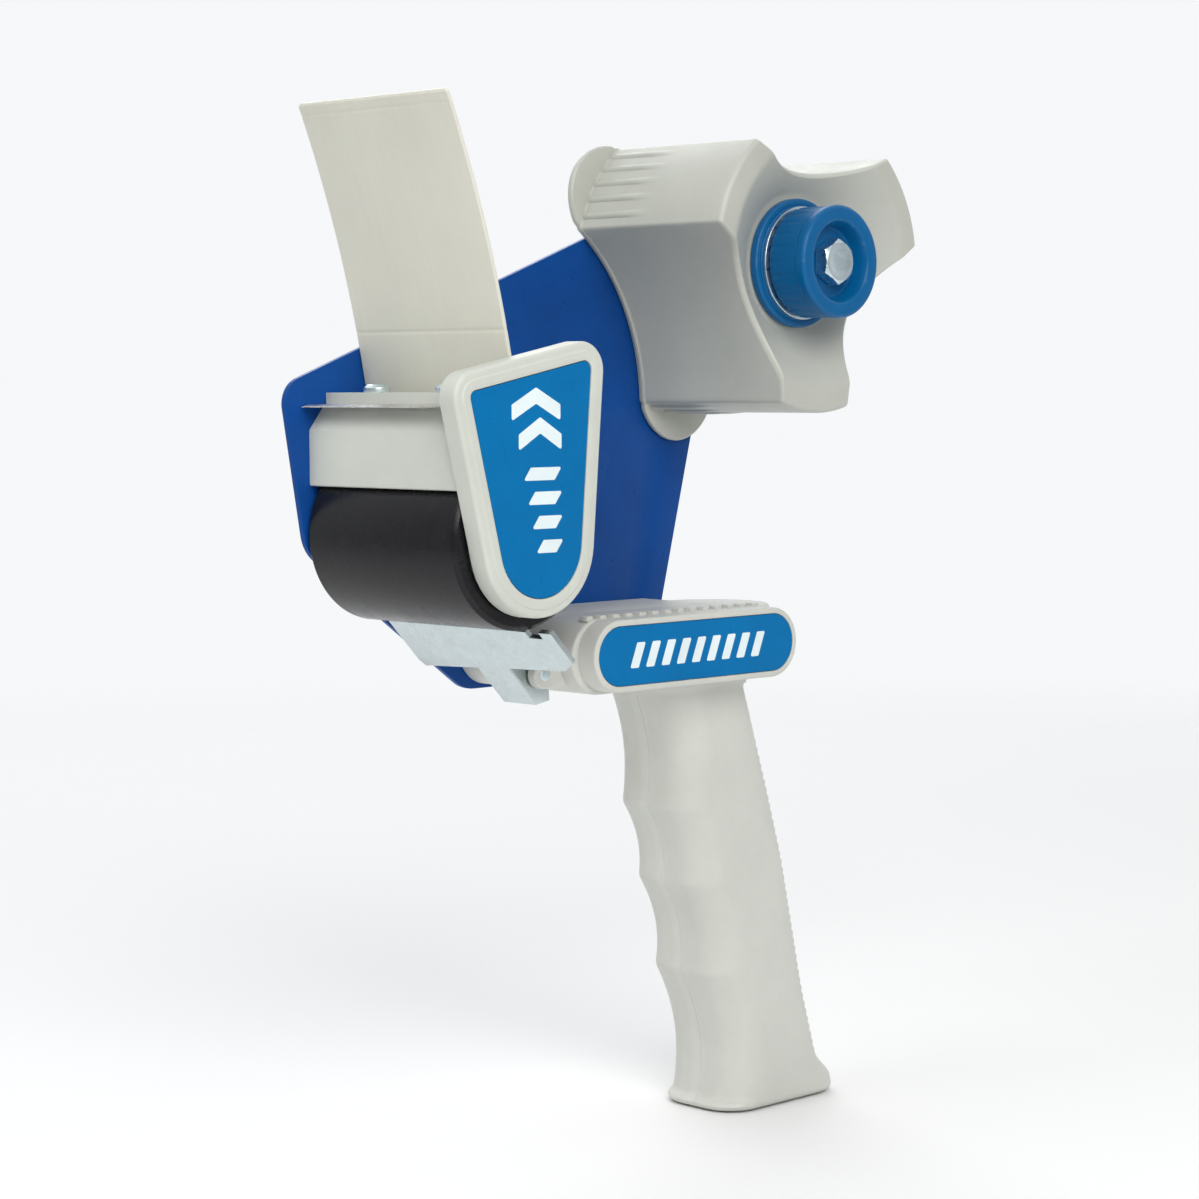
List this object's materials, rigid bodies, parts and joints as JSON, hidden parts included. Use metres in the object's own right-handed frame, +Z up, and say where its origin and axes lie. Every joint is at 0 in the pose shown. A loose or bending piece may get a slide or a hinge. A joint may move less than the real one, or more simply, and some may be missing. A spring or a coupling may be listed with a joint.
{
  "type": "tape gun dispenser",
  "caption": "Hand-held packing tape dispenser with a steel side plate, lobed tape hub with knob brake, applicator roller, serrated blade, flexible flap and angled finger grip.",
  "frame": {"origin": "on the tape hub's axis, midway across the tape's width", "axes": "+Z up along the gun, +X to the rear, away from the roller and blade, +Y from the open side to the side plate"},
  "size_m": [0.1728, 0.0639, 0.2477],
  "materials": {
    "blue_paint": "semi-gloss powder coat",
    "cream_plastic": "fine moulded satin",
    "handle_plastic": "fine moulded satin",
    "hub_plastic": "fine moulded satin",
    "blue_label": "printed foil",
    "knob_plastic": "moulded satin gloss",
    "flap_plastic": "smooth flexible sheet",
    "zinc_steel": "bright zinc plate",
    "blade_steel": "ground",
    "spring_steel": "drawn wire",
    "roller_rubber": "smooth ground rubber",
    "black_plastic": "moulded"
  },
  "bodies": {
    "frame": {"side_plate": "blue_paint", "front_bracket": "cream_plastic", "arm_label": "blue_label", "bracket_screws": "zinc_steel", "cutting_blade": "blade_steel", "blade_clamp": "cream_plastic", "blade_screws": "zinc_steel", "flap_root": "flap_plastic", "flap_clip": "zinc_steel", "flap_screws": "zinc_steel", "roller_axle": "zinc_steel", "hub_spindle": "zinc_steel", "friction_disc": "knob_plastic", "thrust_washer": "zinc_steel", "brake_spring": "spring_steel", "handle_near_shell": "handle_plastic", "handle_far_shell": "handle_plastic", "handle_label": "blue_label", "handle_screws": "zinc_steel", "grip_screws": "zinc_steel", "guide_pin": "zinc_steel", "guide_spring": "spring_steel"},
    "flap": {"flap_blade": "flap_plastic"},
    "roller": {"roller_sleeve": "roller_rubber", "roller_core": "black_plastic"},
    "hub": {"tape_hub": "hub_plastic"},
    "knob_seat": {"spring_seat": "zinc_steel"},
    "knob": {"brake_knob": "knob_plastic", "brake_bolt": "zinc_steel"},
    "guide": {"guide_plate": "zinc_steel"}
  },
  "joints": [
    {"name": "hub_spin", "type": "hinge", "parent": "frame", "child": "hub", "pos_m": [0, 0, 0], "axis": [0, 1, 0], "continuous": true},
    {"name": "roller_spin", "type": "hinge", "parent": "frame", "child": "roller", "pos_m": [-0.103, 0, -0.0645], "axis": [0, 1, 0], "continuous": true},
    {"name": "knob_travel", "type": "slide", "parent": "frame", "child": "knob_seat", "axis": [0, 1, 0], "range_m": [-0.002, 0.0005]},
    {"name": "knob_turn", "type": "hinge", "parent": "knob_seat", "child": "knob", "pos_m": [0, 0, 0], "axis": [0, 1, 0], "range_deg": [-725, 185]},
    {"name": "guide_pivot", "type": "hinge", "parent": "frame", "child": "guide", "pos_m": [-0.081, 0, -0.0975], "axis": [0, 1, 0], "range_deg": [-22, 0], "stiffness_Nm_per_rad": 0.05, "springref_deg": 2.86},
    {"name": "flap_flex", "type": "hinge", "parent": "frame", "child": "flap", "pos_m": [-0.10762, 0, -0.0174], "axis": [0, 1, 0], "range_deg": [-12, 35], "stiffness_Nm_per_rad": 0.08}
  ],
  "couplings": [
    {"joint": "knob_turn", "follows": "knob_travel", "rad_per_m": 6283.2}
  ]
}
